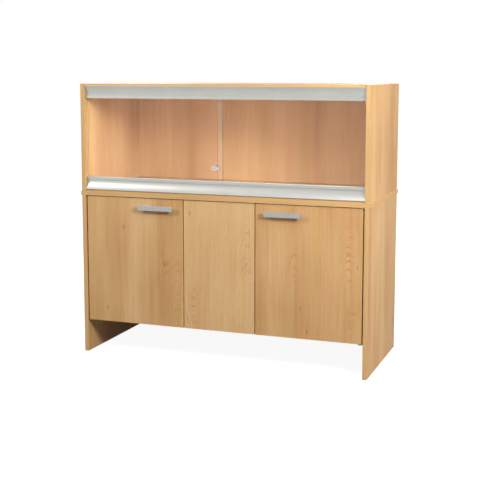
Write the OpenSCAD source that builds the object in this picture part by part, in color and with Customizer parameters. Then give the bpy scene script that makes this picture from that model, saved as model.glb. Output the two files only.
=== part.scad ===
// Terrarium cabinet: a two-door base cabinet with a fixed centre panel, and a
// terrarium with sliding glass that stands on it.
// Millimetres. +Z is up, the doors face -Y, and the origin is on the floor under
// the middle of the whole object. Inside the modules y = 0 is the plane of the
// side panels' front edges, and in_case() moves that plane to its place.
// Pieces that come in pairs are written for the right-hand side, at +X.

/* [Case] */
// Width over the side panels, of the cabinet and of the terrarium
case_w = 1150; // [1000:1:1300]
// Depth of the side panels, of the cabinet and of the terrarium
case_d = 485; // [420:1:560]
// Thickness of the side panels, the doors and the cabinet's panels
board_t = 16; // [15:0.5:19]
// Thickness of the back panels
back_t = 3; // [2.5:0.5:4]
// Width of the rebate in each side panel that takes the edge of a back panel
rebate_w = 8; // [7:0.5:10]
// Room left round the edge of a back panel
back_play = 0.5; // [0.2:0.1:1]

/* [Cabinet] */
// Height of the cabinet, from the floor to the top of its top panel
cabinet_h = 645; // [560:1:760]
// How far the top panel passes each side panel
top_overhang = 4; // [0:0.5:10]
// Height of the bottom panel's underside above the floor
floor_gap = 128.5; // [80:0.5:180]
// Gap between the doors' back faces and the bottom panel's front edge
carcass_gap = 3; // [2.5:0.5:5]

/* [Doors] */
// How far the doors and the centre panel lie behind the side panels' front edges
door_recess = 4; // [3:0.5:12]
// Gap between each door and its side panel, which the door's corner turns in
door_side_gap = 5.5; // [5:0.5:10]
// Gap between each door and the centre panel
door_gap = 4; // [2:0.5:5]
// Width of the fixed centre panel
centre_panel_w = 285; // [220:1:360]

/* [Door pivots] */
// Distance from a door's outer edge to its pivot axis
pivot_inset = 6; // [5.5:0.5:8]
// Diameter of the pivot pins
pivot_pin_d = 5; // [4:0.5:5.5]
// Length of pin inside each bush
pivot_pin_l = 9; // [7:0.5:11]
// Radial running clearance between a pivot pin and its bush
pivot_fit = 0.05; // [0.03:0.01:0.1]
// Outer diameter of the bushes
bush_d = 8; // [7.5:0.5:9]
// Depth of a bush in the door's edge
bush_l = 12; // [12:0.5:16]
// Diameter of the bushes' flanges
bush_flange_d = 11; // [10:0.5:12]
// Thickness of the bushes' flanges
bush_flange_t = 1.2; // [0.8:0.1:2]
// Gap between a bush's flange and the plate that carries it
pivot_gap = 0.3; // [0.2:0.1:0.5]
// Thickness of the top pivots' flanges
top_flange_t = 1; // [0.8:0.1:2]
// Length of the top pivots' spigots in the top panel
top_spigot_l = 10; // [8:0.5:12]
// Thickness of the bottom pivot brackets
bracket_t = 2; // [1.5:0.5:3]
// Width of the bottom pivot brackets
bracket_w = 16; // [15:0.5:18]
// Length of a bottom pivot bracket under the bottom panel
bracket_grip = 28; // [24:1:32]

/* [Handles] */
// Length of a handle's bar
handle_l = 142; // [130:1:170]
// Height of a handle's bar
handle_h = 19; // [17:0.5:30]
// Thickness of a handle's bar
handle_bar_t = 6; // [4:0.5:8]
// How far a handle's front face stands off the door
handle_reach = 19; // [17:0.5:26]
// Distance between a handle's two screws
handle_pitch = 96; // [90:1:104]
// Width of a handle's legs
handle_leg_w = 14; // [12:0.5:18]
// Height of a handle's legs
handle_leg_h = 14; // [10:0.5:16]
// Corner radius of a handle's bar
handle_round = 1.5; // [0.5:0.1:2]
// Distance from a door's free edge to the near end of its handle
handle_edge = 37; // [25:1:60]
// Distance from a door's top edge down to its handle
handle_drop = 27; // [22:0.5:50]

/* [Door catches] */
// Length of a magnetic catch's housing
catch_l = 46; // [44:1:56]
// Height of a magnetic catch's housing
catch_h = 13; // [11:0.5:15]
// Depth of a magnetic catch's housing
catch_depth = 18; // [16:0.5:24]
// Distance from a door's free edge to the middle of its catch
catch_edge = 45; // [36:1:70]
// Thickness of the steel strike plates
strike_t = 1; // [0.8:0.1:1.5]
// Gap between a strike plate and its magnet
catch_gap = 0.2; // [0.1:0.1:0.5]
// Diameter of the rubber door buffers
buffer_d = 8; // [6:0.5:10]
// Distance from a door's free edge to its buffer
buffer_edge = 18; // [12:1:30]

/* [Terrarium] */
// Height of the terrarium
terrarium_h = 419; // [340:1:520]
// Thickness of the terrarium's floor and roof
deck_t = 12; // [12:0.5:14]
// How far the floor and roof lie behind the side panels' front edges
deck_set = 4; // [3:0.5:6]

/* [Cove profiles] */
// Height of the sill and header profiles
profile_h = 48; // [44:0.5:60]
// Height of the straight lip along the glass edge of the profiles
lip_h = 10; // [8:0.5:14]
// Distance of the lip's face behind the side panels' front edges
lip_set = 10; // [8:0.5:12]
// Depth of the cove where it meets the lip
cove_set = 14; // [12:0.5:16]
// Wall thickness of the profiles
profile_wall = 1.5; // [1.2:0.1:1.8]
// How far the profile's toe hangs over the front edge of the floor or roof
toe_lap = 4; // [3:0.5:5]
// Width of the screwed foot behind each profile
foot_w = 12; // [11:0.5:16]
// Gap between a profile's ends and the side panels
profile_end_gap = 0.3; // [0.2:0.1:0.5]

/* [Glass] */
// Thickness of the panes
glass_t = 4; // [3:0.5:5]
// Width of the strip where the panes pass each other
glass_overlap = 18; // [12:1:30]
// Gap between a pane's outer edge and the side panel
glass_side_gap = 1; // [0.5:0.1:2]
// Play on each face of a pane in its runner
glass_play = 1; // [0.5:0.1:1.2]
// Gap between a pane's lower edge and the floor of its channel
glass_seat_gap = 0.3; // [0.2:0.1:0.4]
// Depth of a pane in the upper runner
glass_lap = 2.5; // [2:0.1:3]

/* [Runners] */
// Thickness of the runners' outer walls
runner_wall = 1.2; // [1:0.1:1.5]
// Thickness of the rib between the two channels
runner_rib = 3; // [2.5:0.1:4]
// Depth of the channels in the lower runner
lower_channel = 7; // [6:0.1:7.5]
// Height of the lower runner
lower_runner_h = 11; // [10.5:0.1:11.5]
// Height of the upper runner
upper_runner_h = 12; // [11.5:0.1:12.5]
// Thickness of the upper runner's closed side
upper_web = 1.2; // [1:0.1:1.5]
// How far the runners lie below the edge of the lip
runner_sunk = 0.5; // [0.2:0.1:0.6]
// Gap between a runner and its pocket, on each side
runner_fit = 0.1; // [0.05:0.05:0.2]

/* [Glass lock] */
// Diameter of the lock's barrel
lock_d = 20; // [19:0.5:26]
// Length of the lock's barrel
lock_l = 14; // [13:0.5:14.5]
// Diameter of the key plug
plug_d = 13; // [11:0.5:15]
// Length of the key plug
plug_l = 11; // [8:0.5:11]
// Radial running clearance of the key plug
plug_fit = 0.05; // [0.03:0.01:0.1]
// Wall thickness of the clip that grips the pane's edge
clip_t = 1; // [0.8:0.1:1.2]
// How far the clip reaches over the pane's faces
clip_reach = 6; // [5:0.5:10]
// Height of the clip
clip_h = 14; // [12:0.5:20]
// Gap between the clip and the glass
clip_gap = 0.1; // [0.05:0.05:0.2]
// Height of the lock's axis above the pane's lower edge
lock_rise = 58; // [30:1:90]

/* [Fixings] */
// Diameter of the cam nuts
cam_d = 15; // [12:0.5:15]
// Distance from a panel's edge to the middle of its cam nuts
cam_reach = 24; // [20:0.5:34]
// Diameter of the cam bolts
bolt_d = 6; // [5:0.5:6]
// Depth of the cam bolts and dowels in the panel that they enter
fixing_embed = 10; // [8:0.5:12]
// Distance of the cam bolts from the panels' front and rear edges
fixing_inset = 80; // [75:1:110]
// Distance from each cam bolt to the dowel beside it
dowel_pitch = 32; // [24:1:50]
// Diameter of the dowels
dowel_d = 6; // [5:0.5:8]
// Length of the dowels
dowel_l = 30; // [25:1:40]
// Radial gap round bolts, dowels, cam nuts and bushes in their holes
fixing_fit = 0.05; // [0.03:0.01:0.1]
// Side of the plastic corner blocks behind the centre panel
block_a = 20; // [16:0.5:24]
// Height of the plastic corner blocks
block_h = 30; // [28:1:40]
// Diameter of the wood screws
screw_d = 3.5; // [3:0.1:4]
// Diameter of the handle screws
handle_screw_d = 4; // [3.5:0.1:5]
// Number of screws up each side edge of a back panel
back_screws_up = 4; // [3:1:6]
// Number of screws in the foot of each profile
foot_screws = 5; // [3:1:7]

/* [Hidden] */
$fn = 48;
small = 0.01;
cut = 1;
wood = "burlywood";
wood_edge = "tan";

inner_w = case_w - 2 * board_t;
half_in = inner_w / 2;
back_y = case_d - back_t;
top_z = cabinet_h - board_t;
bottom_top_z = floor_gap + board_t;

door_bottom = floor_gap + pivot_gap + bush_flange_t;
door_top = top_z - top_flange_t - pivot_gap - bush_flange_t;
door_h = door_top - door_bottom;
door_back = door_recess + board_t;
carcass_front = door_back + carcass_gap;
door_in = centre_panel_w / 2 + door_gap;
door_out = half_in - door_side_gap;
door_w = door_out - door_in;
pivot_x = door_out - pivot_inset;
pivot_y = door_recess + board_t / 2;

handle_front = door_recess - handle_reach;
handle_x = door_in + handle_edge + handle_l / 2;
handle_z = door_top - handle_drop - handle_h / 2;
handle_thread = handle_reach - handle_bar_t - 2;
mid_y = (min(0, handle_front) + case_d) / 2;

catch_x = door_in + catch_edge;
catch_front = door_back + strike_t + catch_gap;
strike_l = catch_l - 12;
strike_h = catch_h - 4;
strike_z = door_top - 1 - strike_h / 2;

terrarium_z = cabinet_h;
terrarium_top = terrarium_z + terrarium_h;
floor_top = terrarium_z + deck_t;
roof_under = terrarium_top - deck_t;

channel_w = glass_t + 2 * glass_play;
runner_w = 2 * runner_wall + 2 * channel_w + runner_rib;
pocket_w = runner_w + 2 * runner_fit;
pocket_y = cove_set + profile_wall;
profile_d = pocket_y + pocket_w + profile_wall;
lower_pocket = lower_runner_h + runner_sunk;
upper_pocket = upper_runner_h + runner_sunk;
profile_l = inner_w - 2 * profile_end_gap;
sill_z = terrarium_z + deck_t - toe_lap;
header_z = terrarium_top - deck_t + toe_lap;
sill_lip_top = sill_z + profile_h;
header_lip_under = header_z - profile_h;

lip_z = profile_h - lip_h;
cove_rise = lip_z - profile_wall;
cove_r = (cove_set * cove_set + cove_rise * cove_rise) / (2 * cove_set);

front_pane_y = pocket_y + runner_fit + runner_wall + glass_play;
rear_pane_y = front_pane_y + channel_w + runner_rib;
pane_bottom = sill_lip_top - runner_sunk - lower_channel + glass_seat_gap;
pane_top = header_lip_under + runner_sunk + glass_lap;
pane_w = half_in - glass_side_gap + glass_overlap / 2;

clip_in = -glass_overlap / 2 - clip_gap;
clip_front = front_pane_y - clip_gap - clip_t;
clip_depth = glass_t + 2 * clip_gap + 2 * clip_t;
lock_x = clip_in - clip_t - lock_d / 2 + 1;
lock_z = pane_bottom + lock_rise;
lock_front = clip_front + clip_depth - lock_l;

cam_extra = 3.5;
cam_cap = 3.3;
fix_ys = [fixing_inset, case_d - fixing_inset];
dowel_ys = [fixing_inset + dowel_pitch, case_d - fixing_inset - dowel_pitch];

screw_fit = 0.05;
screw_l = 14;
screw_head_d = 2 * screw_d;
screw_head_h = 0.6 * screw_d;
back_screw_x = half_in + rebate_w / 2;
catch_screw_pitch = catch_l - 10;
bracket_end = carcass_front + bracket_grip;
bracket_screw_ys = [carcass_front + bracket_w / 2 - 1, bracket_end - bracket_w / 2 + 1];
block_zs = [bottom_top_z + 60, top_z - 60];

// ---------------------------------------------------------------- placing

// Moves the plane of the side panels' front edges to its place in the frame.
module in_case() {
    translate([0, -mid_y, 0])
        children();
}

module left_side() {
    mirror([1, 0, 0])
        children();
}

module both_sides() {
    children();
    left_side()
        children();
}

// A block given by its two opposite corners.
module block(low, high) {
    translate(low)
        cube(high - low);
}

// A rod from a point, along +X, +Y or +Z.
module rod_x(from, l, d) {
    translate(from)
        rotate([0, 90, 0])
            cylinder(d = d, h = l);
}

module rod_y(from, l, d) {
    translate(from)
        rotate([-90, 0, 0])
            cylinder(d = d, h = l);
}

module rod_z(from, l, d) {
    translate(from)
        cylinder(d = d, h = l);
}

// ---------------------------------------------------------------- fixings
// A panel joint is described from the middle of the edge that meets the other
// panel: +Z enters that other panel, and +X points to the face that is bored
// for the cam nut.

module cam(t) {
    r = cam_d / 2 - fixing_fit;
    l = t / 2 + cam_extra - fixing_fit;
    translate([t / 2, 0, -cam_reach])
        rotate([0, -90, 0])
            difference() {
                cylinder(r = r, h = l);
                translate([0, -bolt_d / 2 - 0.3, t / 2 - cam_cap])
                    cube([r + cut, bolt_d + 0.6, l]);
                for (a = [45, 135])
                    rotate(a)
                        translate([-cam_d / 4, -0.6, -cut])
                            cube([cam_d / 2, 1.2, cut + 1.2]);
            }
}

module cam_bolt() {
    rod_z([0, 0, -cam_reach + cam_d / 2 - 4], cam_reach - cam_d / 2 + 4 + fixing_embed, bolt_d);
}

module dowel() {
    rod_z([0, 0, fixing_embed - dowel_l], dowel_l, dowel_d);
}

// Holes in the panel that is bored for the cam nut.
module cam_hole(t) {
    rod_x([-cam_extra, 0, -cam_reach], t / 2 + cam_extra + cut, cam_d);
    rod_z([0, 0, -cam_reach], cam_reach + cut, bolt_d + 2 * fixing_fit);
}

module dowel_hole() {
    l = dowel_l - fixing_embed + 0.5;
    rod_z([0, 0, -l], l + cut, dowel_d + 2 * fixing_fit);
}

// Hole in the panel that the bolt or dowel enters.
module entry_hole(d) {
    rod_z([0, 0, -cut], fixing_embed + 0.5 + cut, d + 2 * fixing_fit);
}

module side_top_spots(ys) {
    for (y = ys)
        translate([case_w / 2 - board_t / 2, y, top_z])
            rotate(180)
                children();
}

module bottom_end_spots(ys) {
    for (y = ys)
        translate([half_in, y, floor_gap + board_t / 2])
            rotate([0, 90, 0])
                children();
}

module divider_top_spots(ys) {
    for (y = ys)
        translate([0, y, top_z])
            children();
}

module divider_foot_spots(ys) {
    for (y = ys)
        translate([0, y, bottom_top_z])
            rotate([180, 0, 0])
                children();
}

module deck_end_spots(ys) {
    for (y = ys, z = [terrarium_z + deck_t / 2, terrarium_top - deck_t / 2])
        translate([half_in, y, z])
            rotate([0, 90, 0])
                children();
}

// A pan-head screw: its head's seat is at z = 0 and the shank goes down.
module pan_screw(d, l) {
    difference() {
        cylinder(d = 2 * d, h = 0.6 * d);
        for (a = [0, 90])
            rotate(a)
                translate([-0.6 * d, -0.1 * d, 0.3 * d])
                    cube([1.2 * d, 0.2 * d, d]);
    }
    translate([0, 0, -l])
        cylinder(d = d, h = l + small);
}

// A countersunk screw whose head is flush with z = 0.
module flat_screw(d, l) {
    translate([0, 0, -d / 2])
        cylinder(d1 = d, d2 = 2 * d, h = d / 2);
    translate([0, 0, -l])
        cylinder(d = d, h = l - d / 2 + small);
}

module flat_screw_hole(d, l) {
    wide = d + 2 * screw_fit;
    translate([0, 0, -d / 2])
        cylinder(d1 = wide, d2 = wide + d, h = d / 2);
    translate([0, 0, -small])
        cylinder(d = wide + d, h = cut);
    translate([0, 0, -l - 0.5])
        cylinder(d = wide, h = l - d / 2 + 0.5 + small);
}

module screw_hole(d, l) {
    translate([0, 0, -l - 0.5])
        cylinder(d = d + 2 * screw_fit, h = l + 0.5 + cut);
}

// ---------------------------------------------------------------- back panels

// Places that the back panel's screws take, head side towards +Y.
module back_screw_spots(low, high) {
    up = [for (i = [0 : back_screws_up - 1]) low + (high - low) * (i + 0.5) / back_screws_up];
    for (z = up, x = [-back_screw_x, back_screw_x])
        translate([x, case_d, z])
            rotate([-90, 0, 0])
                children();
}

module back_panel(low, high) {
    difference() {
        block([-half_in - rebate_w + back_play, back_y, low],
              [half_in + rebate_w - back_play, case_d, high]);
        back_screw_spots(low, high)
            flat_screw_hole(screw_d, screw_l);
    }
}

module back_rebate(low, high) {
    block([half_in - cut, back_y, low], [half_in + rebate_w, case_d + cut, high]);
}

// ---------------------------------------------------------------- cabinet

cabinet_back_low = 2;

module cabinet_side() {
    color(wood)
        in_case()
            difference() {
                block([half_in, 0, 0], [case_w / 2, case_d, top_z]);
                back_rebate(-cut, top_z + cut);
                side_top_spots(fix_ys)
                    cam_hole(board_t);
                side_top_spots(dowel_ys)
                    dowel_hole();
                bottom_end_spots(fix_ys)
                    entry_hole(bolt_d);
                bottom_end_spots(dowel_ys)
                    entry_hole(dowel_d);
                back_screw_spots(cabinet_back_low, top_z)
                    screw_hole(screw_d, screw_l);
            }
}

module cabinet_side_left() {
    left_side()
        cabinet_side();
}

module cabinet_side_right() {
    cabinet_side();
}

module catch_screw_spots() {
    both_sides()
        for (x = [-1, 1] * catch_screw_pitch / 2)
            translate([catch_x + x, catch_front + catch_depth / 2, top_z - 2])
                rotate([180, 0, 0])
                    children();
}

module cabinet_top() {
    color(wood)
        in_case()
            difference() {
                block([-case_w / 2 - top_overhang, 0, top_z],
                      [case_w / 2 + top_overhang, case_d, cabinet_h]);
                both_sides() {
                    side_top_spots(fix_ys)
                        entry_hole(bolt_d);
                    side_top_spots(dowel_ys)
                        entry_hole(dowel_d);
                    rod_z([pivot_x, pivot_y, top_z - cut], top_spigot_l + 0.5 + cut,
                          bush_d + 2 * fixing_fit);
                }
                divider_top_spots(fix_ys)
                    entry_hole(bolt_d);
                divider_top_spots(dowel_ys)
                    entry_hole(dowel_d);
                catch_screw_spots()
                    screw_hole(screw_d, screw_l);
            }
}

module bracket_screw_spots() {
    both_sides()
        for (y = bracket_screw_ys)
            translate([pivot_x, y, floor_gap - bracket_t])
                rotate([180, 0, 0])
                    children();
}

module cabinet_bottom() {
    color(wood)
        in_case()
            difference() {
                block([-half_in, carcass_front, floor_gap], [half_in, back_y, bottom_top_z]);
                both_sides() {
                    bottom_end_spots(fix_ys)
                        cam_hole(board_t);
                    bottom_end_spots(dowel_ys)
                        dowel_hole();
                }
                divider_foot_spots(fix_ys)
                    entry_hole(bolt_d);
                divider_foot_spots(dowel_ys)
                    entry_hole(dowel_d);
                bracket_screw_spots()
                    flat_screw_hole(screw_d, screw_l);
            }
}

module cabinet_divider() {
    color(wood)
        in_case()
            difference() {
                block([-board_t / 2, door_back, bottom_top_z], [board_t / 2, back_y, top_z]);
                divider_top_spots(fix_ys)
                    cam_hole(board_t);
                divider_top_spots(dowel_ys)
                    dowel_hole();
                divider_foot_spots(fix_ys)
                    cam_hole(board_t);
                divider_foot_spots(dowel_ys)
                    dowel_hole();
                block_side_screw_spots()
                    screw_hole(screw_d, block_side_screw_l);
            }
}

module cabinet_back() {
    color(wood)
        in_case()
            back_panel(cabinet_back_low, top_z);
}

// ---------------------------------------------------------------- centre panel

block_wall = 5;
block_web = 4;
block_side_screw_l = board_t / 2 + block_web - 1;
block_front_screw_l = board_t - 5 + block_web;
block_screw_dz = block_h / 4;

// Screws through a block's web into the divider.
module block_side_screw_spots() {
    both_sides()
        for (z = block_zs)
            translate([board_t / 2 + block_web, door_back + block_a / 2 + 1, z + block_screw_dz])
                rotate([0, 90, 0])
                    children();
}

// Screws through a block's web into the centre panel.
module block_front_screw_spots() {
    both_sides()
        for (z = block_zs)
            translate([board_t / 2 + block_a / 2 + 1, door_back + block_web, z - block_screw_dz])
                rotate([-90, 0, 0])
                    children();
}

module centre_panel() {
    color(wood)
        in_case()
            difference() {
                block([-centre_panel_w / 2, door_recess, door_bottom],
                      [centre_panel_w / 2, door_back, door_top]);
                block_front_screw_spots()
                    screw_hole(screw_d, block_front_screw_l);
            }
}

// Angle blocks with a web on each of the two boards and closed ends.
module centre_panel_blocks() {
    x = board_t / 2;
    color("saddlebrown")
        in_case()
            difference() {
                both_sides()
                    for (z = block_zs)
                        difference() {
                            block([x, door_back, z - block_h / 2],
                                  [x + block_a, door_back + block_a, z + block_h / 2]);
                            block([x + block_web, door_back + block_web, z - block_h / 2 + 2],
                                  [x + block_a + cut, door_back + block_a + cut, z + block_h / 2 - 2]);
                        }
                block_side_screw_spots()
                    screw_hole(screw_d, block_side_screw_l);
                block_front_screw_spots()
                    screw_hole(screw_d, block_front_screw_l);
            }
}

module block_screws() {
    color("silver")
        in_case() {
            block_side_screw_spots()
                pan_screw(screw_d, block_side_screw_l);
            block_front_screw_spots()
                pan_screw(screw_d, block_front_screw_l);
        }
}

// ---------------------------------------------------------------- cabinet fixings

module cabinet_cams() {
    color("silver")
        in_case() {
            both_sides() {
                side_top_spots(fix_ys)
                    cam(board_t);
                bottom_end_spots(fix_ys)
                    cam(board_t);
            }
            divider_top_spots(fix_ys)
                cam(board_t);
            divider_foot_spots(fix_ys)
                cam(board_t);
        }
}

module cabinet_cam_bolts() {
    color("gray")
        in_case() {
            both_sides() {
                side_top_spots(fix_ys)
                    cam_bolt();
                bottom_end_spots(fix_ys)
                    cam_bolt();
            }
            divider_top_spots(fix_ys)
                cam_bolt();
            divider_foot_spots(fix_ys)
                cam_bolt();
        }
}

module cabinet_dowels() {
    color(wood_edge)
        in_case() {
            both_sides() {
                side_top_spots(dowel_ys)
                    dowel();
                bottom_end_spots(dowel_ys)
                    dowel();
            }
            divider_top_spots(dowel_ys)
                dowel();
            divider_foot_spots(dowel_ys)
                dowel();
        }
}

module cabinet_back_screws() {
    color("silver")
        in_case()
            back_screw_spots(cabinet_back_low, top_z)
                flat_screw(screw_d, screw_l);
}

// ---------------------------------------------------------------- door pivots

module top_pivots() {
    color("silver")
        in_case()
            both_sides() {
                rod_z([pivot_x, pivot_y, top_z], top_spigot_l, bush_d);
                rod_z([pivot_x, pivot_y, top_z - top_flange_t], top_flange_t, bush_flange_d);
                rod_z([pivot_x, pivot_y, door_top - pivot_pin_l],
                      top_z - door_top + pivot_pin_l, pivot_pin_d);
            }
}

// A strap under the bottom panel, with a round nose and the lower pin.
module bottom_pivot_brackets() {
    color("silver")
        in_case()
            difference() {
                both_sides() {
                    rod_z([pivot_x, pivot_y, floor_gap - bracket_t], bracket_t, bracket_w);
                    block([pivot_x - bracket_w / 2, pivot_y, floor_gap - bracket_t],
                          [pivot_x + bracket_w / 2, bracket_end, floor_gap]);
                    rod_z([pivot_x, pivot_y, floor_gap - bracket_t],
                          door_bottom - floor_gap + bracket_t + pivot_pin_l, pivot_pin_d);
                }
                bracket_screw_spots()
                    flat_screw_hole(screw_d, screw_l);
            }
}

module bracket_screws() {
    color("gray")
        in_case()
            bracket_screw_spots()
                flat_screw(screw_d, screw_l);
}

// A bush in the door's edge; +Z points out of the edge.
module bush() {
    difference() {
        union() {
            rod_z([0, 0, -bush_l], bush_l, bush_d);
            rod_z([0, 0, 0], bush_flange_t, bush_flange_d);
        }
        rod_z([0, 0, -bush_l - cut], bush_l + bush_flange_t + 2 * cut,
              pivot_pin_d + 2 * pivot_fit);
    }
}

module bush_spots() {
    translate([pivot_x, pivot_y, door_top])
        children();
    translate([pivot_x, pivot_y, door_bottom])
        rotate([180, 0, 0])
            children();
}

module door_bushes() {
    color("white")
        in_case()
            bush_spots()
                bush();
}

// ---------------------------------------------------------------- door catches

// The housing has a slot for the magnet and two ears for the screws.
module door_catches() {
    magnet_l = catch_screw_pitch - 4 * screw_d;
    color("saddlebrown")
        in_case()
            difference() {
                both_sides() {
                    block([catch_x - magnet_l / 2, catch_front, top_z - catch_h],
                          [catch_x + magnet_l / 2, catch_front + catch_depth, top_z]);
                    block([catch_x - catch_l / 2, catch_front + 2, top_z - 2],
                          [catch_x + catch_l / 2, catch_front + catch_depth, top_z]);
                }
                both_sides()
                    block([catch_x - magnet_l / 2 + 2, catch_front - cut, top_z - catch_h / 2 - 1.5],
                          [catch_x + magnet_l / 2 - 2, catch_front + 1, top_z - catch_h / 2 + 1.5]);
                catch_screw_spots()
                    screw_hole(screw_d, screw_l);
            }
}

module catch_screws() {
    color("silver")
        in_case()
            catch_screw_spots()
                pan_screw(screw_d, screw_l);
}

module door_buffers() {
    color("dimgray")
        in_case()
            both_sides()
                rod_y([door_in + buffer_edge, door_back + pivot_gap, floor_gap + board_t / 2],
                      carcass_gap - pivot_gap, buffer_d);
}

module strike_screw_spot() {
    translate([catch_x, door_back + strike_t, strike_z])
        rotate([-90, 0, 0])
            children();
}

strike_screw_l = board_t - 4;

module strike_plate() {
    color("silver")
        in_case()
            difference() {
                block([catch_x - strike_l / 2, door_back, strike_z - strike_h / 2],
                      [catch_x + strike_l / 2, door_back + strike_t, strike_z + strike_h / 2]);
                strike_screw_spot()
                    flat_screw_hole(screw_d, strike_screw_l);
            }
}

module strike_screw() {
    color("gray")
        in_case()
            strike_screw_spot()
                flat_screw(screw_d, strike_screw_l);
}

// ---------------------------------------------------------------- doors

module handle_screw_spots() {
    for (x = [-1, 1] * handle_pitch / 2)
        translate([handle_x + x, door_back, handle_z])
            rotate([-90, 0, 0])
                children();
}

handle_screw_l = board_t + handle_thread - 2;

module door() {
    color(wood)
        in_case()
            difference() {
                block([door_in, door_recess, door_bottom], [door_out, door_back, door_top]);
                bush_spots()
                    rod_z([0, 0, -bush_l - 0.5], bush_l + 0.5 + cut, bush_d + 2 * fixing_fit);
                handle_screw_spots()
                    screw_hole(handle_screw_d, board_t + cut);
                strike_screw_spot()
                    flat_screw_hole(screw_d, strike_screw_l);
            }
}

// Outline of the handle's bar, with its four long edges rounded.
module bar_outline() {
    r = handle_round;
    square([handle_bar_t - 2 * r, handle_h], center = true);
    square([handle_bar_t, handle_h - 2 * r], center = true);
    for (x = [-1, 1], y = [-1, 1])
        translate([x * (handle_bar_t / 2 - r), y * (handle_h / 2 - r)])
            circle(r);
}

// A flat bar on two legs that hold the screws' threads.
module handle() {
    leg_y = handle_front + handle_bar_t - small;
    color("silver")
        in_case()
            difference() {
                union() {
                    translate([handle_x - handle_l / 2, handle_front + handle_bar_t / 2, handle_z])
                        rotate([90, 0, 90])
                            linear_extrude(handle_l)
                                bar_outline();
                    for (x = [-1, 1] * handle_pitch / 2)
                        block([handle_x + x - handle_leg_w / 2, leg_y, handle_z - handle_leg_h / 2],
                              [handle_x + x + handle_leg_w / 2, door_recess, handle_z + handle_leg_h / 2]);
                }
                handle_screw_spots()
                    screw_hole(handle_screw_d, board_t + handle_thread);
            }
}

module handle_screws() {
    color("gray")
        in_case()
            handle_screw_spots()
                pan_screw(handle_screw_d, handle_screw_l);
}

module left_door() {
    left_side()
        door();
}

module left_handle() {
    left_side()
        handle();
}

module left_handle_screws() {
    left_side()
        handle_screws();
}

module left_door_bushes() {
    left_side()
        door_bushes();
}

module left_strike_plate() {
    left_side()
        strike_plate();
}

module left_strike_screw() {
    left_side()
        strike_screw();
}

module right_door() {
    door();
}

module right_handle() {
    handle();
}

module right_handle_screws() {
    handle_screws();
}

module right_door_bushes() {
    door_bushes();
}

module right_strike_plate() {
    strike_plate();
}

module right_strike_screw() {
    strike_screw();
}

// ---------------------------------------------------------------- terrarium case

terrarium_back_low = terrarium_z + back_play;
terrarium_back_high = terrarium_top - back_play;

module terrarium_side() {
    color(wood)
        in_case()
            difference() {
                block([half_in, 0, terrarium_z], [case_w / 2, case_d, terrarium_top]);
                back_rebate(terrarium_z - cut, terrarium_top + cut);
                deck_end_spots(fix_ys)
                    entry_hole(bolt_d);
                deck_end_spots(dowel_ys)
                    entry_hole(dowel_d);
                back_screw_spots(terrarium_back_low, terrarium_back_high)
                    screw_hole(screw_d, screw_l);
            }
}

module terrarium_side_left() {
    left_side()
        terrarium_side();
}

module terrarium_side_right() {
    terrarium_side();
}

module foot_screw_xs() {
    for (i = [0 : foot_screws - 1])
        translate([profile_l * ((i + 0.5) / foot_screws - 0.5), profile_d + foot_w / 2, 0])
            children();
}

foot_screw_l = deck_t - 4;

module foot_screw_spots() {
    foot_screw_xs() {
        translate([0, 0, floor_top + profile_wall])
            children();
        translate([0, 0, roof_under - profile_wall])
            rotate([180, 0, 0])
                children();
    }
}

module deck(low) {
    color(wood)
        in_case()
            difference() {
                block([-half_in, deck_set, low], [half_in, back_y, low + deck_t]);
                both_sides() {
                    deck_end_spots(fix_ys)
                        cam_hole(deck_t);
                    deck_end_spots(dowel_ys)
                        dowel_hole();
                }
                foot_screw_spots()
                    screw_hole(screw_d, foot_screw_l);
            }
}

module terrarium_floor() {
    deck(terrarium_z);
}

module terrarium_roof() {
    deck(roof_under);
}

module terrarium_back() {
    color(wood)
        in_case()
            back_panel(terrarium_back_low, terrarium_back_high);
}

module terrarium_cams() {
    color("silver")
        in_case()
            both_sides()
                deck_end_spots(fix_ys)
                    cam(deck_t);
}

module terrarium_cam_bolts() {
    color("gray")
        in_case()
            both_sides()
                deck_end_spots(fix_ys)
                    cam_bolt();
}

module terrarium_dowels() {
    color(wood_edge)
        in_case()
            both_sides()
                deck_end_spots(dowel_ys)
                    dowel();
}

module terrarium_back_screws() {
    color("silver")
        in_case()
            back_screw_spots(terrarium_back_low, terrarium_back_high)
                flat_screw(screw_d, screw_l);
}

// ---------------------------------------------------------------- cove profiles

// Outline of a profile: x is the depth behind the side panels' front edges, and
// y the height above the toe. The cove is an arc that flares out to the toe.
module profile_outline(pocket) {
    pocket_z = profile_h - pocket;
    difference() {
        union() {
            square([profile_d, profile_h]);
            translate([0, toe_lap])
                square([profile_d + foot_w, profile_wall]);
        }
        translate([deck_set, -cut])
            square([profile_d, toe_lap + cut]);
        intersection() {
            translate([cove_set - cove_r, lip_z])
                circle(cove_r, $fn = 180);
            translate([-cut, -cut])
                square([profile_d, lip_z + cut]);
        }
        translate([-cut, lip_z])
            square([lip_set + cut, profile_h]);
        translate([pocket_y, pocket_z])
            square([pocket_w, profile_h]);
        difference() {
            translate([deck_set + profile_wall, toe_lap + profile_wall])
                square([profile_d - deck_set - 2 * profile_wall,
                        pocket_z - toe_lap - 2 * profile_wall]);
            translate([cove_set - cove_r, lip_z])
                circle(cove_r + profile_wall, $fn = 180);
        }
    }
}

module profile(pocket) {
    translate([-profile_l / 2, 0, 0])
        rotate([90, 0, 90])
            linear_extrude(profile_l)
                profile_outline(pocket);
}

module sill_profile() {
    color("gainsboro")
        in_case()
            difference() {
                translate([0, 0, sill_z])
                    profile(lower_pocket);
                foot_screw_spots()
                    screw_hole(screw_d, foot_screw_l);
            }
}

module header_profile() {
    color("gainsboro")
        in_case()
            difference() {
                translate([0, 0, header_z])
                    mirror([0, 0, 1])
                        profile(upper_pocket);
                foot_screw_spots()
                    screw_hole(screw_d, foot_screw_l);
            }
}

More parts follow.
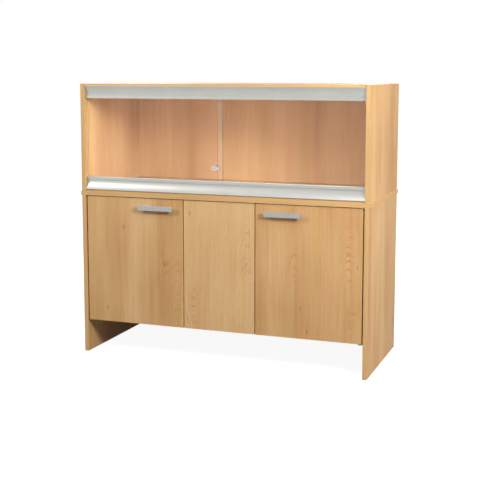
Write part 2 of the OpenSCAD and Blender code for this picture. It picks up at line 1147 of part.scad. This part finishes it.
module profile_screws() {
    color("gray")
        in_case()
            foot_screw_spots()
                pan_screw(screw_d, foot_screw_l);
}

// Outline of a runner: a strip with two open channels.
module runner_outline(h, channel) {
    difference() {
        square([runner_w, h]);
        for (x = [runner_wall, runner_wall + channel_w + runner_rib])
            translate([x, h - channel])
                square([channel_w, channel + cut]);
    }
}

module runner(h, channel) {
    translate([-profile_l / 2, pocket_y + runner_fit, -h])
        rotate([90, 0, 90])
            linear_extrude(profile_l)
                runner_outline(h, channel);
}

module lower_runner() {
    color("whitesmoke")
        in_case()
            translate([0, 0, sill_lip_top - runner_sunk])
                runner(lower_runner_h, lower_channel);
}

module upper_runner() {
    color("whitesmoke")
        in_case()
            translate([0, 0, header_lip_under + runner_sunk])
                mirror([0, 0, 1])
                    runner(upper_runner_h, upper_runner_h - upper_web);
}

// ---------------------------------------------------------------- glass

// The left pane runs in the rear channel and the right pane in the front one.
module pane(y) {
    color("lightcyan", 0.4)
        in_case()
            block([-glass_overlap / 2, y, pane_bottom],
                  [pane_w - glass_overlap / 2, y + glass_t, pane_top]);
}

module left_glass() {
    left_side()
        pane(rear_pane_y);
}

module right_glass() {
    pane(front_pane_y);
}

// The barrel sits beside the front pane's free edge, on a clip that grips it.
module lock_body() {
    color("silver")
        in_case()
            difference() {
                union() {
                    rod_y([lock_x, lock_front, lock_z], lock_l, lock_d);
                    difference() {
                        block([clip_in - clip_t, clip_front, lock_z - clip_h / 2],
                              [clip_in + clip_reach, clip_front + clip_depth, lock_z + clip_h / 2]);
                        block([clip_in, clip_front + clip_t, lock_z - clip_h],
                              [clip_in + clip_reach + cut, clip_front + clip_depth - clip_t,
                               lock_z + clip_h]);
                    }
                }
                rod_y([lock_x, lock_front - cut, lock_z], plug_l + plug_fit + cut,
                      plug_d + 2 * plug_fit);
            }
}

// The plug has a key slot, upright when the lock is shut.
module lock_plug() {
    key_w = 2;
    key_h = 8;
    key_depth = 6;
    color("gray")
        in_case()
            difference() {
                rod_y([lock_x, lock_front, lock_z], plug_l, plug_d);
                block([lock_x - key_w / 2, lock_front - cut, lock_z - key_h / 2],
                      [lock_x + key_w / 2, lock_front + key_depth, lock_z + key_h / 2]);
            }
}

// ---------------------------------------------------------------- nodes

cabinet_side_left();
cabinet_side_right();
cabinet_top();
cabinet_bottom();
cabinet_divider();
cabinet_back();
centre_panel();
centre_panel_blocks();
block_screws();
cabinet_cams();
cabinet_cam_bolts();
cabinet_dowels();
cabinet_back_screws();
top_pivots();
bottom_pivot_brackets();
bracket_screws();
door_catches();
catch_screws();
door_buffers();
left_door();
left_handle();
left_handle_screws();
left_door_bushes();
left_strike_plate();
left_strike_screw();
right_door();
right_handle();
right_handle_screws();
right_door_bushes();
right_strike_plate();
right_strike_screw();
terrarium_side_left();
terrarium_side_right();
terrarium_floor();
terrarium_roof();
terrarium_back();
sill_profile();
header_profile();
lower_runner();
upper_runner();
profile_screws();
terrarium_cams();
terrarium_cam_bolts();
terrarium_dowels();
terrarium_back_screws();
left_glass();
right_glass();
lock_body();
lock_plug();
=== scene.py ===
"""The looks of the terrarium cabinet: materials, floor, lamps and camera."""

from collections import namedtuple
import math

import bpy
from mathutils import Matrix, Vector


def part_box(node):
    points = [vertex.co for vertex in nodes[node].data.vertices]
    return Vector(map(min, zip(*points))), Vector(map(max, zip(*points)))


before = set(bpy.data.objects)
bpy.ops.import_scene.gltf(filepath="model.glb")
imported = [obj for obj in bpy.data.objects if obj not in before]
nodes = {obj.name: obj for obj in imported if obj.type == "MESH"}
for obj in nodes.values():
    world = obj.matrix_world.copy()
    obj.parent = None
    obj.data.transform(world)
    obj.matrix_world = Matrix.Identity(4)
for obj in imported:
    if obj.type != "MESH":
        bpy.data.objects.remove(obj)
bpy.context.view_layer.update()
scene = bpy.context.scene

X, Y, Z = 0, 1, 2
AXES = (X, Y, Z)
MM = 0.001
WHITE = (1.0, 1.0, 1.0, 1.0)


# ------------------------------------------------------------------ node nets

class Net:
    """A material's node tree, with short calls for the nodes that it uses."""

    def __init__(self, name):
        self.mat = bpy.data.materials.new(name)
        self.mat.use_nodes = True
        self.tree = self.mat.node_tree
        self.tree.nodes.clear()
        self.out = self.add("ShaderNodeOutputMaterial")
        self.shader = self.add("ShaderNodeBsdfPrincipled")
        self.link(self.shader.outputs[0], self.out.inputs["Surface"])
        coords = self.add("ShaderNodeTexCoord")
        self.place = coords.outputs["Object"]
        self.normal = coords.outputs["Normal"]

    def add(self, kind, **settings):
        node = self.tree.nodes.new(kind)
        for key, value in settings.items():
            setattr(node, key, value)
        return node

    def link(self, source, target):
        self.tree.links.new(source, target)

    def feed(self, socket, value):
        """Link a socket to another node's, or give it a plain value."""
        if isinstance(value, bpy.types.NodeSocket):
            self.link(value, socket)
        else:
            socket.default_value = value

    def set(self, name, value):
        self.feed(self.shader.inputs[name], value)

    def math(self, operation, a, b=0.0, c=0.0):
        node = self.add("ShaderNodeMath", operation=operation)
        for socket, value in zip(node.inputs, (a, b, c)):
            self.feed(socket, value)
        return node.outputs[0]

    def times(self, a, b):
        return self.math("MULTIPLY", a, b)

    def centred(self, value):
        """A value from 0 to 1, moved to lie around 0."""
        return self.math("SUBTRACT", value, 0.5)

    def length(self, a, b):
        return self.math("SQRT", self.math("ADD", self.times(a, a), self.times(b, b)))

    def split(self, vector):
        node = self.add("ShaderNodeSeparateXYZ")
        self.feed(node.inputs[0], vector)
        return node.outputs[X], node.outputs[Y], node.outputs[Z]

    def join(self, *parts):
        node = self.add("ShaderNodeCombineXYZ")
        for socket, value in zip(node.inputs, parts):
            self.feed(socket, value)
        return node.outputs[0]

    def stretched(self, axis, along, across):
        """The object's place, scaled by along on one axis and by across on the other two."""
        parts = self.split(self.place)
        return self.join(*[self.times(parts[i], along if i == axis else across) for i in AXES])

    def noise(self, vector, scale=1.0, detail=2.0):
        node = self.add("ShaderNodeTexNoise")
        self.feed(node.inputs["Vector"], vector)
        node.inputs["Scale"].default_value = scale
        node.inputs["Detail"].default_value = detail
        node.inputs["Roughness"].default_value = 0.5
        return node.outputs[0]

    def ramp(self, value, low, high, to_low=0.0, to_high=1.0, curve="SMOOTHSTEP"):
        """to_low below low, to_high above high, and a smooth change between them."""
        node = self.add("ShaderNodeMapRange", interpolation_type=curve)
        for socket, number in zip(node.inputs, (value, low, high, to_low, to_high)):
            self.feed(socket, number)
        return node.outputs[0]

    def linear(self, value, low, high, to_low=0.0, to_high=1.0):
        return self.ramp(value, low, high, to_low, to_high, "LINEAR")

    def mix(self, factor, a, b):
        node = self.add("ShaderNodeMix", data_type="RGBA", blend_type="MIX")
        for i, value in ((0, factor), (6, a), (7, b)):
            self.feed(node.inputs[i], value)
        return node.outputs[2]

    def bump(self, height, strength, distance):
        node = self.add("ShaderNodeBump")
        node.inputs["Strength"].default_value = strength
        node.inputs["Distance"].default_value = distance
        self.feed(node.inputs["Height"], height)
        self.set("Normal", node.outputs[0])


def seen_rays(tree):
    """1 for rays from the camera and those that metal and glass send on, 0 for the rest."""
    path = tree.nodes.new("ShaderNodeLightPath")
    seen = path.outputs["Is Camera Ray"]
    for other in ("Is Glossy Ray", "Is Transmission Ray"):
        either = tree.nodes.new("ShaderNodeMath")
        either.operation = "MAXIMUM"
        tree.links.new(seen, either.inputs[0])
        tree.links.new(path.outputs[other], either.inputs[1])
        seen = either.outputs[0]
    return seen


def rgb(r, g, b):
    """A linear colour from sRGB values of 0 to 255."""
    def linear(c):
        c = c / 255
        return c / 12.92 if c <= 0.04045 else ((c + 0.055) / 1.055) ** 2.4
    return (linear(r), linear(g), linear(b), 1.0)


def paint(material, *names):
    for name in names:
        for slot in nodes[name].material_slots:
            slot.material = material


# ------------------------------------------------------------------ wood print

LIGHT = rgb(231, 190, 138)
MID = rgb(219, 174, 121)
DARK = rgb(203, 153, 102)
PINK = rgb(224, 170, 124)
STRAW = rgb(216, 175, 114)
FLAME = rgb(196, 130, 78)
KNOT = rgb(138, 92, 54)
EDGING = rgb(213, 170, 114), rgb(225, 184, 130)

# A pattern's changes in a metre across the grain and along it, what keeps it apart from the
# others, and its detail.
Pattern = namedtuple("Pattern", "across along shift detail")
SLOW_WAVER = Pattern(2.2, 1.1, 0, 2.0)
QUICK_WAVER = Pattern(9.0, 6.0, 3, 2.0)
CLOUD = Pattern(5.0, 3.0, 47, 2.0)
BROAD = Pattern(9.0, 0.7, 0, 2.0)
HUE = Pattern(34.0, 0.9, 61, 2.0)
STREAK = Pattern(95.0, 1.6, 11, 2.0)
THREAD = Pattern(420.0, 6.0, 23, 1.0)
PORE = Pattern(900.0, 36.0, 31, 0.0)
SEED_STEP = 7.31                    # what keeps the boards' patterns apart

SLOW_SWAY = 50 * MM                 # how far the grain lines waver
QUICK_SWAY = 8 * MM
BROAD_SHARE, STREAK_SHARE, THREAD_SHARE, CLOUD_SHARE = 1.7, 0.5, 0.5, 0.8
TONE_SPAN = 0.34                    # from the middle tone to the lightest or the darkest
HUE_SPAN = 0.22                     # from the plain hue to the pinkest or the most straw-like
PINK_SHARE, STRAW_SHARE = 0.65, 0.60
PORE_SHARE = 0.45

ARCH_ACROSS, ARCH_ALONG = 30.0, 150.0       # changes in a metre
ARCH_TIP = 7.07 * MM                # how round the arches' tops are
ARCH_LEAN = -0.7
ARCH_RIPPLE = 5.0
ARCH_WIDTH = 12 * MM, 34 * MM       # to each side, where they start to fade and where they end
ARCH_DARK, ARCH_PALE = 0.55, 0.32

FLECK_LENGTH = 2.4                  # times its width
FLECK_SHARE = 0.45
EDGING_ACROSS, EDGING_ALONG = 60.0, 4.0     # changes in a metre
BOARD_GLOSS = 0.07

# Marks on a board, measured in mm from its lowest corner. Arches are year rings cut at a slant:
# a faint stack of them, as far as reach up and down the grain. A steeper slope makes them more
# pointed, and a negative one turns them over. A fleck is a small dark knot.
Arches = namedtuple("Arches", "across along reach slope")
Fleck = namedtuple("Fleck", "across along radius")


class Board(Net):
    """Oak print on one board, in the board's own directions: along is the grain's axis, deep
    is the thickness's, and across is the third."""

    def __init__(self, name, node, grain, thick, seed):
        super().__init__(name)
        side = X + Y + Z - grain - thick
        parts = self.split(self.place)
        self.grain, self.thick = grain, thick
        self.across, self.along, self.deep = parts[side], parts[grain], parts[thick]
        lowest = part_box(node)[0]
        self.corner = lowest[side], lowest[grain]
        self.start = seed * SEED_STEP
        self.quick = self.patch(QUICK_WAVER)
        self.track = self.wavering()
        self.streak = self.centred(self.fibre(STREAK))
        self.thread = self.centred(self.fibre(THREAD))
        self.pore = self.ramp(self.fibre(PORE), 0.64, 0.76)

    def patch(self, pattern):
        """Soft patches over the board's face."""
        place = self.join(self.times(self.across, pattern.across), self.times(self.along, pattern.along),
                          self.start + pattern.shift)
        return self.noise(place, detail=pattern.detail)

    def wavering(self):
        """The place across the grain, with a slow and a quick waver of the grain lines."""
        slow = self.centred(self.patch(SLOW_WAVER))
        swayed = self.math("MULTIPLY_ADD", slow, SLOW_SWAY, self.across)
        return self.math("MULTIPLY_ADD", self.centred(self.quick), QUICK_SWAY, swayed)

    def fibre(self, pattern):
        """Streaks that follow the grain lines, through the whole board."""
        deep = self.math("MULTIPLY_ADD", self.deep, pattern.across, self.start + pattern.shift)
        place = self.join(self.times(self.track, pattern.across), self.times(self.along, pattern.along), deep)
        return self.noise(place, detail=pattern.detail)

    def offset(self, mark):
        """How far a point lies from a mark's middle, across the grain and along it."""
        return (self.math("SUBTRACT", self.track, self.corner[0] + mark.across * MM),
                self.math("SUBTRACT", self.along, self.corner[1] + mark.along * MM))

    def ground(self, lift):
        """The plain grain: light and dark bands, with threads a little pinker or yellower."""
        tone = self.math("MULTIPLY_ADD", self.centred(self.fibre(BROAD)), BROAD_SHARE, lift)
        cloud = self.centred(self.patch(CLOUD))
        for part, share in ((self.streak, STREAK_SHARE), (self.thread, THREAD_SHARE), (cloud, CLOUD_SHARE)):
            tone = self.math("MULTIPLY_ADD", part, share, tone)
        hue = self.centred(self.fibre(HUE))
        colour = self.mix(self.linear(tone, 0.0, TONE_SPAN), MID, LIGHT)
        colour = self.mix(self.linear(tone, -TONE_SPAN, 0.0, 1.0, 0.0), colour, DARK)
        colour = self.mix(self.linear(hue, 0.0, HUE_SPAN, 0.0, PINK_SHARE), colour, PINK)
        return self.mix(self.linear(hue, -HUE_SPAN, 0.0, STRAW_SHARE, 0.0), colour, STRAW)

    def rings(self, side, arches):
        """The lines of the arches, which lean over and ripple a little."""
        rounded = self.math("SQRT", self.math("MULTIPLY_ADD", side, side, ARCH_TIP ** 2))
        leaning = self.math("MULTIPLY_ADD", side, ARCH_LEAN, rounded)
        ring = self.math("MULTIPLY_ADD", leaning, arches.slope, self.along)
        ring = self.math("MULTIPLY_ADD", self.quick, ARCH_RIPPLE, self.times(ring, ARCH_ALONG))
        apart = self.start + (self.corner[0] + arches.across * MM) * 9
        return self.noise(self.join(ring, self.times(side, ARCH_ACROSS), apart), detail=1.0)

    def fading(self, side, rise, reach):
        """1 in the middle of the arches, and less to the sides, to the ends and between streaks."""
        near = self.ramp(self.math("ABSOLUTE", side), *ARCH_WIDTH, 1.0, 0.0)
        ends = self.ramp(self.math("ABSOLUTE", rise), reach * 0.4, reach, 1.0, 0.0)
        return self.times(self.times(near, ends), self.ramp(self.streak, -0.16, 0.08, 0.35, 1.0))

    def with_arches(self, colour, arches):
        side, rise = self.offset(arches)
        ring = self.rings(side, arches)
        near = self.fading(side, rise, arches.reach * MM)
        colour = self.mix(self.times(self.ramp(ring, 0.48, 0.66, 0.0, ARCH_DARK), near), colour, FLAME)
        return self.mix(self.times(self.ramp(ring, 0.32, 0.46, ARCH_PALE, 0.0), near), colour, LIGHT)

    def with_pores(self, colour):
        return self.mix(self.times(self.pore, PORE_SHARE), colour, DARK)

    def with_fleck(self, colour, fleck):
        radius = fleck.radius * MM
        side, rise = self.offset(fleck)
        away = self.length(self.math("DIVIDE", side, radius),
                           self.math("DIVIDE", rise, radius * FLECK_LENGTH))
        away = self.math("MULTIPLY_ADD", self.streak, 1.6, away)
        return self.mix(self.ramp(away, 0.0, 1.7, FLECK_SHARE, 0.0), colour, KNOT)

    def with_edging(self, colour):
        """Plain edging wherever the surface doesn't face along the board's thickness."""
        facing = self.math("ABSOLUTE", self.split(self.normal)[self.thick])
        wisp = self.noise(self.stretched(self.grain, EDGING_ALONG, EDGING_ACROSS))
        edging = self.mix(self.linear(wisp, 0.3, 0.7), *EDGING)
        return self.mix(self.ramp(facing, 0.4, 0.6, 1.0, 0.0), colour, edging)

    def finish(self, colour):
        self.set("Base Color", colour)
        self.set("Roughness", self.linear(self.math("ADD", self.thread, self.streak), -0.5, 0.5, 0.60, 0.48))
        self.set("Specular IOR Level", BOARD_GLOSS)
        self.bump(self.math("SUBTRACT", self.thread, self.pore), 0.12, 0.0004)


def oak(name, node, grain, thick, seed, arches=(), flecks=(), lift=0.0):
    """Give a node the oak print. A higher lift makes the whole board paler."""
    board = Board(name, node, grain, thick, seed)
    colour = board.ground(lift)
    for figure in arches:
        colour = board.with_arches(colour, figure)
    colour = board.with_pores(colour)
    for fleck in flecks:
        colour = board.with_fleck(colour, fleck)
    board.finish(board.with_edging(colour))
    paint(board.mat, node)


def paint_fronts():
    oak("oak_left_door", "left_door", Z, Y, 1, lift=0.08,
        arches=[Arches(375.5, 160, 150, 2.0), Arches(328.5, 250, 90, -1.8)],
        flecks=[Fleck(158.5, 380, 4.0), Fleck(86.5, 56, 4.2), Fleck(331.5, 244, 3.6)])
    oak("oak_centre_panel", "centre_panel", Z, Y, 2, lift=0.26,
        arches=[Arches(238.5, 310, 140, 2.2), Arches(34.5, 85, 100, -2.4)],
        flecks=[Fleck(278.5, 276, 3.0), Fleck(15.5, 447, 3.8)])
    oak("oak_right_door", "right_door", Z, Y, 3,
        arches=[Arches(139.5, 270, 100, 2.2), Arches(350.5, 320, 150, 2.0), Arches(358.5, 90, 60, -2.0)],
        flecks=[Fleck(389.5, 282, 3.4), Fleck(195.5, 28, 3.6), Fleck(169.5, 115, 3.4)])


def paint_carcasses():
    # The right side's lift is painted light: the whole board is made paler to stand in for the sheen and the
    # stronger light that fall on that side.
    oak("oak_right_side", "cabinet_side_right", Z, X, 4, [Arches(295, 300, 160, 2.2)], lift=0.10)
    oak("oak_left_side", "cabinet_side_left", Z, X, 5, [Arches(155, 360, 160, 2.2)])
    oak("oak_upper_right_side", "terrarium_side_right", Z, X, 6)
    oak("oak_upper_left_side", "terrarium_side_left", Z, X, 7)
    oak("oak_divider", "cabinet_divider", Z, X, 8)
    oak("oak_top", "cabinet_top", X, Z, 9)
    oak("oak_bottom", "cabinet_bottom", X, Z, 10)
    oak("oak_terrarium_floor", "terrarium_floor", X, Z, 11)
    oak("oak_terrarium_roof", "terrarium_roof", X, Z, 12,
        [Arches(281, 359, 200, 2.4), Arches(121, 809, 180, -2.2)])
    oak("oak_lower_back", "cabinet_back", Z, Y, 13)
    oak("oak_upper_back", "terrarium_back", Z, Y, 14)


def paint_dowels():
    n = Net("dowel_beech")
    n.set("Base Color", n.mix(n.noise(n.stretched(X, 900.0, 900.0)), rgb(206, 170, 122), rgb(226, 196, 152)))
    n.set("Roughness", 0.6)
    paint(n.mat, "cabinet_dowels", "terrarium_dowels")


# ------------------------------------------------------------------ metals

FINE_BRUSH = 1500.0         # brush lines in a metre, across the way that they run
COARSE_BRUSH = 500.0
CAST_GRAIN = 700.0
BRUSH_STRETCH = 0.01        # how much slower the brushing changes along its lines
METAL_PATCH = 9.0           # slow patches in a metre


def metal(name, low, high, run, rough, brush=FINE_BRUSH, metallic=1.0):
    """Satin metal between two tones, brushed or drawn along the axis run."""
    n = Net(name)
    fine = n.noise(n.stretched(run, brush * BRUSH_STRETCH, brush))
    slow = n.noise(n.stretched(run, METAL_PATCH, METAL_PATCH))
    tone = n.math("MULTIPLY_ADD", n.centred(slow), 0.6, fine)
    n.set("Base Color", n.mix(n.linear(tone, 0.25, 0.75), low, high))
    n.set("Metallic", metallic)
    n.set("Roughness", n.linear(tone, 0.2, 0.8, rough + 0.06, rough - 0.05))
    n.bump(fine, 0.05, 0.0002)
    return n.mat


def paint_metals():
    satin = metal("satin_handle", rgb(165, 165, 162), rgb(180, 180, 176), X, 0.42, metallic=0.5)
    paint(satin, "left_handle", "right_handle")
    anodised = metal("anodised_profile", rgb(181, 181, 175), rgb(194, 194, 188), X, 0.38, metallic=0.6)
    paint(anodised, "sill_profile", "header_profile")
    plated = metal("plated_lock", rgb(205, 206, 208), rgb(225, 226, 228), Y, 0.25)
    paint(plated, "lock_body")
    plug = metal("lock_plug_metal", rgb(188, 190, 192), rgb(204, 206, 208), Y, 0.3)
    paint(plug, "lock_plug")
    steel = metal("bracket_steel", rgb(112, 111, 108), rgb(136, 135, 131), X, 0.5, COARSE_BRUSH, 0.6)
    paint(steel, "bottom_pivot_brackets")
    cast = metal("cast_cam", rgb(150, 151, 152), rgb(184, 185, 186), X, 0.48, CAST_GRAIN)
    paint(cast, "cabinet_cams", "terrarium_cams")
    zinc = metal("zinc_plate", rgb(176, 178, 180), rgb(205, 206, 206), Z, 0.36, COARSE_BRUSH)
    paint(zinc, "top_pivots", "left_strike_plate", "right_strike_plate", "block_screws",
          "cabinet_back_screws", "bracket_screws", "catch_screws", "left_handle_screws",
          "left_strike_screw", "right_handle_screws", "right_strike_screw", "profile_screws",
          "terrarium_back_screws", "cabinet_cam_bolts", "terrarium_cam_bolts")


# ------------------------------------------------------------------ plastics

PLASTIC_GRAIN = 900.0
PLASTIC_PATCH = 11.0


def plastic(name, low, high, rough):
    """Moulded plastic between two tones, with a fine grain."""
    n = Net(name)
    fine = n.noise(n.place, PLASTIC_GRAIN, 3.0)
    slow = n.noise(n.place, PLASTIC_PATCH)
    n.set("Base Color", n.mix(n.linear(slow, 0.3, 0.7), low, high))
    n.set("Roughness", n.linear(fine, 0.3, 0.7, rough - 0.06, rough + 0.06))
    n.bump(fine, 0.15, 0.0002)
    return n.mat


def paint_plastics():
    pale = plastic("runner_plastic", rgb(222, 222, 218), rgb(232, 232, 229), 0.45)
    paint(pale, "lower_runner", "upper_runner")
    brown = plastic("brown_plastic", rgb(96, 62, 36), rgb(110, 74, 45), 0.55)
    paint(brown, "centre_panel_blocks", "door_catches")
    nylon = plastic("nylon", rgb(176, 168, 148), rgb(190, 182, 162), 0.45)
    paint(nylon, "left_door_bushes", "right_door_bushes")
    rubber = plastic("buffer_rubber", rgb(36, 36, 36), rgb(48, 48, 48), 0.7)
    paint(rubber, "door_buffers")


# ------------------------------------------------------------------ glass

GLASS_IOR = 1.45
GLASS_SHADE = (0.95, 0.97, 0.96, 1.0)


def paint_glass():
    """Clear panes: greener where their cut edges show, and open to lamp light."""
    n = Net("pane_glass")
    across, _, up = n.split(n.normal)
    cut = n.ramp(n.math("MAXIMUM", n.math("ABSOLUTE", across), n.math("ABSOLUTE", up)), 0.4, 0.6)
    n.set("Base Color", n.mix(cut, rgb(250, 253, 252), rgb(150, 178, 166)))
    n.set("Roughness", n.ramp(n.noise(n.place, 7.0, 3.0), 0.35, 0.75, 0.0, 0.02))
    n.set("IOR", GLASS_IOR)
    n.set("Transmission Weight", 1.0)
    clear = n.add("ShaderNodeBsdfTransparent")
    clear.inputs[0].default_value = GLASS_SHADE
    path = n.add("ShaderNodeLightPath")
    choice = n.add("ShaderNodeMixShader")
    n.link(path.outputs["Is Shadow Ray"], choice.inputs[0])
    n.link(n.shader.outputs[0], choice.inputs[1])
    n.link(clear.outputs[0], choice.inputs[2])
    n.link(choice.outputs[0], n.out.inputs["Surface"])
    paint(n.mat, "left_glass", "right_glass")


# ------------------------------------------------------------------ floor and world

FLOOR_HALF = 30.0
FLOOR_LEVEL = -0.0005
FLOOR_GREY = rgb(132, 132, 132)
FLOOR_SHOWN = 0.93, 1.0     # how white it shows near the object, and far away
FLOOR_FADE = 0.8, 2.6       # the distances from the middle between which that changes
WORLD_LIGHT = 0.22


def make_floor():
    """A floor that shows white, and keeps the object's shadow."""
    corners = [(x * FLOOR_HALF, y * FLOOR_HALF, FLOOR_LEVEL) for x, y in ((-1, -1), (1, -1), (1, 1), (-1, 1))]
    mesh = bpy.data.meshes.new("floor")
    mesh.from_pydata(corners, [], [(0, 1, 2, 3)])
    floor = bpy.data.objects.new("floor", mesh)
    scene.collection.objects.link(floor)
    n = Net("floor_white")
    n.set("Base Color", FLOOR_GREY)
    n.set("Roughness", 0.9)
    n.set("Specular IOR Level", 0.0)
    n.set("Emission Color", WHITE)
    x, y, _ = n.split(n.place)
    shown = n.ramp(n.length(x, y), *FLOOR_FADE, *FLOOR_SHOWN)
    n.set("Emission Strength", n.times(seen_rays(n.tree), shown))
    mesh.materials.append(n.mat)


def make_world():
    """A world that shows white, and lights the object weakly."""
    world = bpy.data.worlds.new("studio")
    scene.world = world
    world.use_nodes = True
    tree = world.node_tree
    tree.nodes.clear()
    out = tree.nodes.new("ShaderNodeOutputWorld")
    back = tree.nodes.new("ShaderNodeBackground")
    back.inputs["Color"].default_value = WHITE
    power = tree.nodes.new("ShaderNodeMapRange")
    power.inputs["To Min"].default_value = WORLD_LIGHT
    power.inputs["To Max"].default_value = 1.0
    tree.links.new(seen_rays(tree), power.inputs["Value"])
    tree.links.new(power.outputs[0], back.inputs["Strength"])
    tree.links.new(back.outputs[0], out.inputs["Surface"])


# ------------------------------------------------------------------ lamps and camera

def lamp(name, place, target, size, watts, reflected=True):
    """A square lamp. One that isn't reflected gives light, but no glare at a low angle."""
    data = bpy.data.lights.new(name, "AREA")
    data.shape = "SQUARE"
    data.size = size
    data.energy = watts
    ob = bpy.data.objects.new(name, data)
    ob.location = place
    ob.rotation_euler = (Vector(target) - Vector(place)).to_track_quat("-Z", "Y").to_euler()
    ob.visible_glossy = reflected
    scene.collection.objects.link(ob)


def make_lamps():
    lamp("right", (1.9, -1.45, 1.55), (0.2, 0.0, 0.55), 0.5, 42.0, reflected=False)
    lamp("left", (-1.9, -1.7, 1.9), (-0.2, 0.0, 0.55), 0.6, 29.0)
    lamp("side", (2.4, -0.2, 2.0), (0.5, 0.0, 0.6), 0.9, 11.0)
    lamp("top", (0.6, -1.2, 2.5), (0.1, 0.0, 0.5), 0.9, 13.0)
    lamp("rear_right", (0.4, 2.6, 2.0), (0.2, 0.2, 0.6), 1.2, 45.0)
    lamp("rear_left", (-1.8, 2.3, 2.0), (-0.2, 0.2, 0.6), 1.2, 32.0)


# Pixels of the photograph: its width and height, the focal length, and the row that the optical
# axis falls on.
PHOTO_SIZE = 480
FOCAL = 1010.3
AXIS_ROW = 200.0
SENSOR = 36.0
# Angles in radians: turned to the left and tilted down.
CAMERA_TURN = 0.3541
CAMERA_TILT = 0.1266
# Metres from the middle of the boards' front edge on the floor.
CAMERA_RIGHT = 1.3762
CAMERA_AHEAD = 3.4869
CAMERA_HEIGHT = 1.1108


def make_camera():
    data = bpy.data.cameras.new("camera")
    data.sensor_fit = "HORIZONTAL"
    data.sensor_width = SENSOR
    data.lens = FOCAL / PHOTO_SIZE * SENSOR
    data.shift_y = (AXIS_ROW - PHOTO_SIZE / 2) / PHOTO_SIZE
    data.clip_end = 100.0
    look = Vector((-math.sin(CAMERA_TURN) * math.cos(CAMERA_TILT),
                   math.cos(CAMERA_TURN) * math.cos(CAMERA_TILT), -math.sin(CAMERA_TILT)))
    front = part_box("cabinet_side_right")[0][Y]
    ob = bpy.data.objects.new("camera", data)
    ob.location = (CAMERA_RIGHT, front - CAMERA_AHEAD, CAMERA_HEIGHT)
    ob.rotation_euler = look.to_track_quat("-Z", "Y").to_euler()
    scene.collection.objects.link(ob)
    scene.camera = ob


paint_fronts()
paint_carcasses()
paint_dowels()
paint_metals()
paint_plastics()
paint_glass()
make_floor()
make_world()
make_lamps()
make_camera()
scene.view_settings.view_transform = "Standard"
